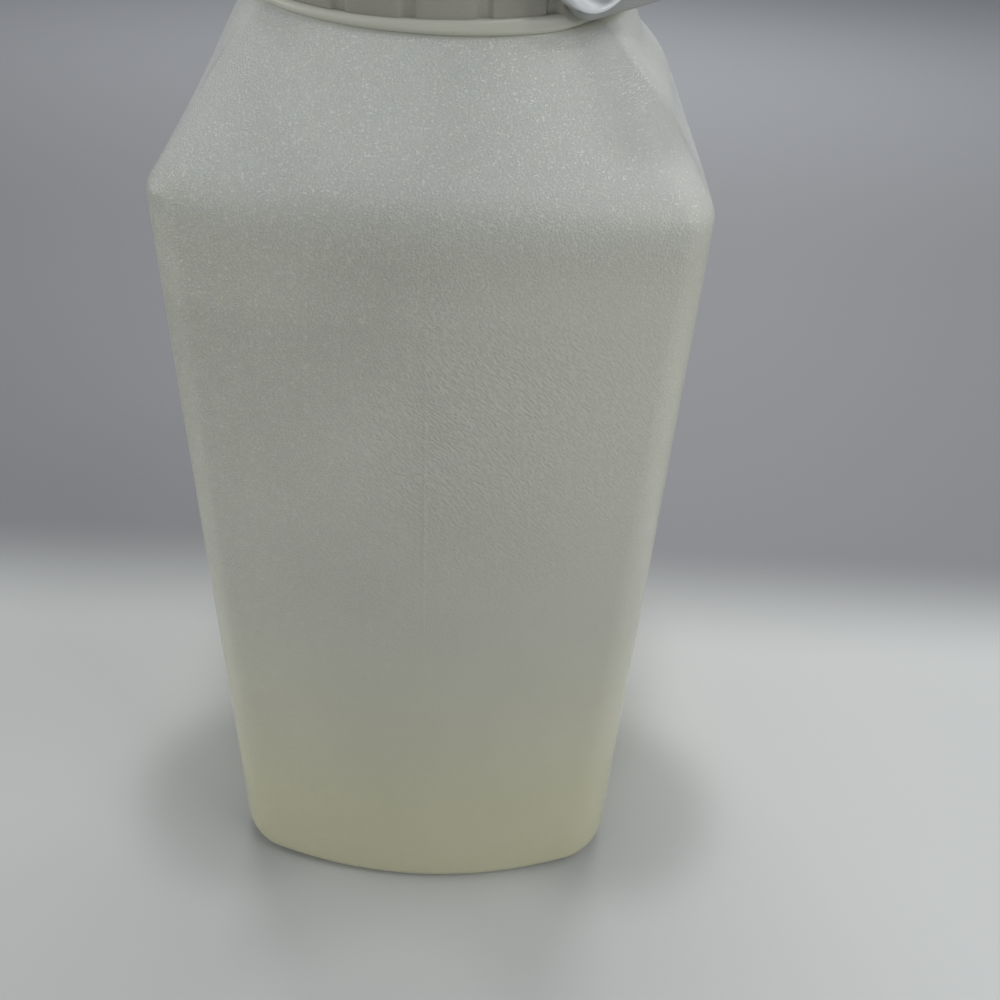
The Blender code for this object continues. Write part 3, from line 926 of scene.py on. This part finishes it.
def milky_plastic(finish):
    """Translucent jug plastic: moulded grain in slanting folds, warmer near the base partly as painted
    light, with painted glints and painted light and shade by place.
    """
    shared_groups()
    material, tree, shader = new_material("milky_plastic")
    link = tree.links.new
    where = place_on_piece(tree)
    height = split_up(tree, where)[2]
    # The warm foot and the paler shoulder are partly painted light.
    lower = mix(tree, ramp(tree, height, *WARM_FOOT), finish.milk_low, finish.milk_middle)
    upper = mix(tree, ramp(tree, height, *SHOULDER_TINT), lower, finish.milk_high)
    is_collar = ramp(tree, height, *COLLAR_TINT)
    below_collar = math_node(tree, "SUBTRACT", 1.0, is_collar)
    drift = use_group(tree, "Colour Drift", where, Patch_Size=26 * MM, Amount=0.07)
    link(mix(tree, is_collar, upper, finish.milk_collar), drift.inputs["Color"])

    grain, fine = grain_height(tree, finish, where, below_collar)
    # Partly the grain's own mottle, partly painted shade in its valleys and painted light on its ridges.
    tone = ramp(tree, grain, *GRAIN_TINT)
    # Painted glints on the grain's peaks.
    tone = math_node(tree, "ADD", tone, glints(tree, finish, where, fine, below_collar))
    # Painted light and shade by place.
    tone = with_painted_light_and_shade(tree, finish, tone, where, below_collar)
    link(scaled_colour(tree, drift.outputs["Color"], tone), shader.inputs["Base Color"])
    add_relief(tree, shader, grain, finish.grain_depth)
    rough = ramp(tree, height, *GLOSS_TO_SHOULDER, finish.milk_roughness, finish.shoulder_roughness)
    rough = math_node(tree, "ADD", rough, ramp(tree, is_collar, *COLLAR_DULLER))
    uneven = ramp(tree, drift.outputs["Patch"], *ROUGHNESS_DRIFT)
    link(math_node(tree, "ADD", rough, uneven), shader.inputs["Roughness"])
    shader.inputs["Subsurface Weight"].default_value = 0.5
    shader.inputs["Subsurface Radius"].default_value = (1.0, 0.95, 0.7)
    shader.inputs["Subsurface Scale"].default_value = 3 * MM
    return material


def moulded_grey(name, tint, roughness, fold):
    """Satin moulded plastic with a fine texture."""
    shared_groups()
    material, tree, shader = new_material(name)
    where = place_on_piece(tree)
    drift = use_group(tree, "Colour Drift", where, Patch_Size=9 * MM, Amount=0.14)
    feed(tree, tint, drift.inputs["Color"])
    tree.links.new(drift.outputs["Color"], shader.inputs["Base Color"])
    grain = use_group(tree, "Moulded Grain", where, Fold_Width=fold)
    add_relief(tree, shader, grain.outputs["Height"], GREY_GRAIN_DEPTH)
    patch = drift.outputs["Patch"]
    rough = ramp(tree, patch, *DRIFT_PATCHES, roughness - GREY_UNEVEN, roughness + GREY_UNEVEN)
    tree.links.new(rough, shader.inputs["Roughness"])
    return material


def gloss_white(finish, middle, shaded):
    """Glossy white stud plastic, uneven, with painted shade: greyer round the shaded point but not on the
    rim.
    """
    shared_groups()
    material, tree, shader = new_material("gloss_white")
    where = place_on_piece(tree)
    drift = use_group(tree, "Colour Drift", where, Patch_Size=6 * MM, Amount=0.08)
    # Painted shade in the stud's dish.
    painted_dish_shade = product(tree, near(tree, where, shaded, *FROM_SHADED), near(tree, where, middle, *FROM_MIDDLE))
    tree.links.new(mix(tree, painted_dish_shade, finish.stud_white, finish.stud_painted_shade), drift.inputs["Color"])
    tree.links.new(drift.outputs["Color"], shader.inputs["Base Color"])
    rough = ramp(tree, drift.outputs["Patch"], *DRIFT_PATCHES, *WHITE_ROUGHNESS)
    tree.links.new(rough, shader.inputs["Roughness"])
    return material


def put_in_scene(name, data):
    made = bpy.data.objects.new(name, data)
    bpy.context.scene.collection.objects.link(made)
    return made


def show(name, mesh, material, replaced, matrix=None):
    """Puts a finished mesh in the scene in place of a CAD node."""
    piece = put_in_scene(name, mesh)
    mesh.materials.append(material)
    if matrix is not None:
        mesh.transform(matrix)
        if matrix.determinant() < 0:
            mesh.flip_normals()
    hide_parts(replaced)
    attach(piece, "root")
    return piece


class JUG_OT_make_shell(Operator):
    """Make the jug's body with its seams, grain and collar"""

    bl_idname = "jug.make_shell"
    bl_label = "Make jug body"

    def execute(self, context):
        mesh = grid_mesh("jug_shell", shell_points(context.scene.jug_shell))
        show("jug_shell", mesh, milky_plastic(context.scene.jug_finish), "jug_body")
        return {"FINISHED"}


class JUG_OT_make_cap(Operator):
    """Make the ribbed screw cap"""

    bl_idname = "jug.make_cap"
    bl_label = "Make screw cap"

    def execute(self, context):
        mesh = grid_mesh("ribbed_cap", cap_points(context.scene.jug_cap))
        mesh.set_sharp_from_angle(angle=math.radians(60))
        grey = moulded_grey("cap_grey", context.scene.jug_finish.cap_grey, roughness=0.48, fold=0.6 * MM)
        show("ribbed_cap", mesh, grey, "screw_cap")
        return {"FINISHED"}


class JUG_OT_make_tab(Operator):
    """Make the side tab"""

    bl_idname = "jug.make_tab"
    bl_label = "Make side tab"

    def execute(self, context):
        tab, cap = context.scene.jug_tab, context.scene.jug_cap
        half_length = (tab.free_end - tab.back_end) / 2
        rise = math.sin(tab.tilt) * (half_length - tab.corner)
        middle = cap.bottom - tab.drop + tab.height / 2 + rise
        place = tab_plane(tab, cap, (tab.free_end + tab.back_end) / 2, 0.0, middle)
        lean = Matrix.Rotation(-tab.tilt, 4, "Y")
        mesh = grid_mesh("lift_tab", tab_points(tab))
        grey = moulded_grey("tab_grey", context.scene.jug_finish.tab_grey, roughness=0.5, fold=0.6 * MM)
        show("lift_tab", mesh, grey, "side_tab", place @ lean)
        return {"FINISHED"}


class JUG_OT_make_stud(Operator):
    """Make the glossy round stud"""

    bl_idname = "jug.make_stud"
    bl_label = "Make round stud"

    def execute(self, context):
        tab, cap = context.scene.jug_tab, context.scene.jug_cap
        mesh = turned_mesh("dished_stud", stud_profile(tab), steps=96)
        place = tab_plane(tab, cap, tab.stud_along, tab.thickness + tab.stud_gap, tab.stud_height)
        outwards = Matrix.Rotation(-math.pi / 2, 4, "X")
        floor = tab.stud_thickness - tab.stud_dish
        # Where the dish's painted shade is centred.
        middle, shaded = (place @ Vector((along, floor, 0.0)) for along in (0.0, tab.stud_shade))
        white = gloss_white(context.scene.jug_finish, middle, shaded)
        show("dished_stud", mesh, white, "round_stud", place @ outwards)
        return {"FINISHED"}


def add_light(name, place, target, size, power):
    light = bpy.data.lights.new(name, "AREA")
    light.shape = "RECTANGLE"
    light.size, light.size_y = size
    light.energy = power
    lamp = put_in_scene(name, light)
    lamp.location = place
    lamp.rotation_euler = (Vector(target) - Vector(place)).to_track_quat("-Z", "Y").to_euler()
    lamp.visible_camera = False


def add_camera(stage):
    """The camera at the photograph's place, looking its way."""
    camera = bpy.data.cameras.new("camera")
    camera.sensor_width = 36.0
    camera.angle = stage.camera_view
    camera.clip_start = 0.01
    seat = put_in_scene("camera", camera)
    heading, pitch = stage.camera_heading, stage.camera_pitch
    ahead = math.cos(pitch)
    look = Vector((math.sin(heading) * ahead, math.cos(heading) * ahead, -math.sin(pitch)))
    level = Vector((math.cos(heading), -math.sin(heading), 0.0))
    above = level.cross(look)
    right = level * math.cos(stage.camera_roll) + above * math.sin(stage.camera_roll)
    up = above * math.cos(stage.camera_roll) - level * math.sin(stage.camera_roll)
    turn = Matrix((right, up, -look)).transposed().to_4x4()
    side, away = stage.camera_side, stage.camera_distance
    place = Vector((away * math.sin(side), -away * math.cos(side), stage.camera_height))
    seat.matrix_world = Matrix.Translation(place) @ turn
    bpy.context.scene.camera = seat


# The floor: half its width, where painted shade darkens it towards the back, how painted shade and light
# change it across and far back, and the painted shadows by the jug's foot and painted light in front, each
# with reaches and factor.
FLOOR_REACH = 3.0
FLOOR_DARKENS = (0.03, 0.095)
FLOOR_ACROSS = (-0.2, 0.2, 0.82, 0.97)
FLOOR_FAR_BACK = (0.35, 1.0, 1.0, 1.75)
FLOOR_PAINTED_SHADOWS_AND_LIGHT = (
    # A painted shadow round the foot, painted light in front of it, and painted shadows on either side.
    ((0.0, 0.03, None), 0.05, 0.1, 0.76),
    ((-0.01, -0.12, None), 0.02, 0.06, 1.12),
    ((-0.055, -0.035, None), 0.015, 0.05, 0.76),
    ((0.055, -0.035, None), 0.015, 0.05, 0.76),
)


def add_floor(stage):
    """A pale floor with painted shade behind the jug, painted shadows beside its foot and painted light in
    front of it.
    """
    mesh = bpy.data.meshes.new("floor")
    signs = ((-1, -1), (1, -1), (1, 1), (-1, 1))
    corners = [(x * FLOOR_REACH, y * FLOOR_REACH, 0.0) for x, y in signs]
    mesh.from_pydata(corners, [], [(0, 1, 2, 3)])
    floor = put_in_scene("floor", mesh)
    material, tree, shader = new_material("pale_floor")
    where = place_on_piece(tree)
    across, back, _ = split_up(tree, where)
    # Painted shade towards the back.
    base = mix(tree, ramp(tree, back, *FLOOR_DARKENS), stage.floor, stage.floor_painted_far_shade)
    # Painted shade on the left and painted light far back.
    level = ramps(tree, (across, FLOOR_ACROSS), (back, FLOOR_FAR_BACK))
    # Painted shadows round the foot and painted light in front of it.
    for spot, inner, outer, factor in FLOOR_PAINTED_SHADOWS_AND_LIGHT:
        level = lifted(tree, level, near(tree, where, spot, inner, outer), factor - 1.0)
    tree.links.new(scaled_colour(tree, base, level), shader.inputs["Base Color"])
    shader.inputs["Roughness"].default_value = 0.6
    mesh.materials.append(material)


class JUG_OT_make_stage(Operator):
    """Make the floor, the soft lights and the camera"""

    bl_idname = "jug.make_stage"
    bl_label = "Make stage"

    def execute(self, context):
        stage = context.scene.jug_stage
        world = bpy.data.worlds.new("room_light")
        world.use_nodes = True
        background = world.node_tree.nodes["Background"]
        background.inputs["Color"].default_value = ROOM_TINT
        background.inputs["Strength"].default_value = stage.room * stage.brightness
        context.scene.world = world
        context.scene.view_settings.view_transform = "Standard"
        for name, place, target, size, power in LIGHTS:
            add_light(name, place, target, size, power * stage.brightness)
        add_floor(stage)
        add_camera(stage)
        return {"FINISHED"}


class JUG_PT_sidebar(Panel):
    """Lists the jug's sizes and makers."""

    bl_idname = "JUG_PT_sidebar"
    bl_label = "Square plastic jug"
    bl_space_type = "VIEW_3D"
    bl_region_type = "UI"
    bl_category = "Jug"

    def draw(self, context):
        for settings, makers in PANEL_ROWS:
            box = self.layout.box()
            group = getattr(context.scene, settings)
            for name in group.__annotations__:
                box.prop(group, name)
            for maker in makers:
                box.operator(maker.bl_idname)


SETTINGS = {
    "jug_stage": StageSettings,
    "jug_finish": FinishSettings,
    "jug_shell": JugShellSettings,
    "jug_cap": CapSettings,
    "jug_tab": TabSettings,
}
PANEL_ROWS = (
    ("jug_stage", (JUG_OT_make_stage,)),
    ("jug_finish", ()),
    ("jug_shell", (JUG_OT_make_shell,)),
    ("jug_cap", (JUG_OT_make_cap,)),
    ("jug_tab", (JUG_OT_make_tab, JUG_OT_make_stud)),
)
OPERATORS = (JUG_OT_make_stage, JUG_OT_make_shell, JUG_OT_make_cap, JUG_OT_make_tab, JUG_OT_make_stud)


def register():
    for kind in (*SETTINGS.values(), *OPERATORS, JUG_PT_sidebar):
        bpy.utils.register_class(kind)
    for name, kind in SETTINGS.items():
        setattr(bpy.types.Scene, name, PointerProperty(type=kind))


def unregister():
    for name in SETTINGS:
        delattr(bpy.types.Scene, name)
    for kind in (JUG_PT_sidebar, *reversed(OPERATORS), *reversed(list(SETTINGS.values()))):
        bpy.utils.unregister_class(kind)


def main():
    register()
    bpy.ops.jug.make_stage()
    bpy.ops.jug.make_shell()
    bpy.ops.jug.make_cap()
    bpy.ops.jug.make_tab()
    bpy.ops.jug.make_stud()


if __name__ == "__main__":
    main()
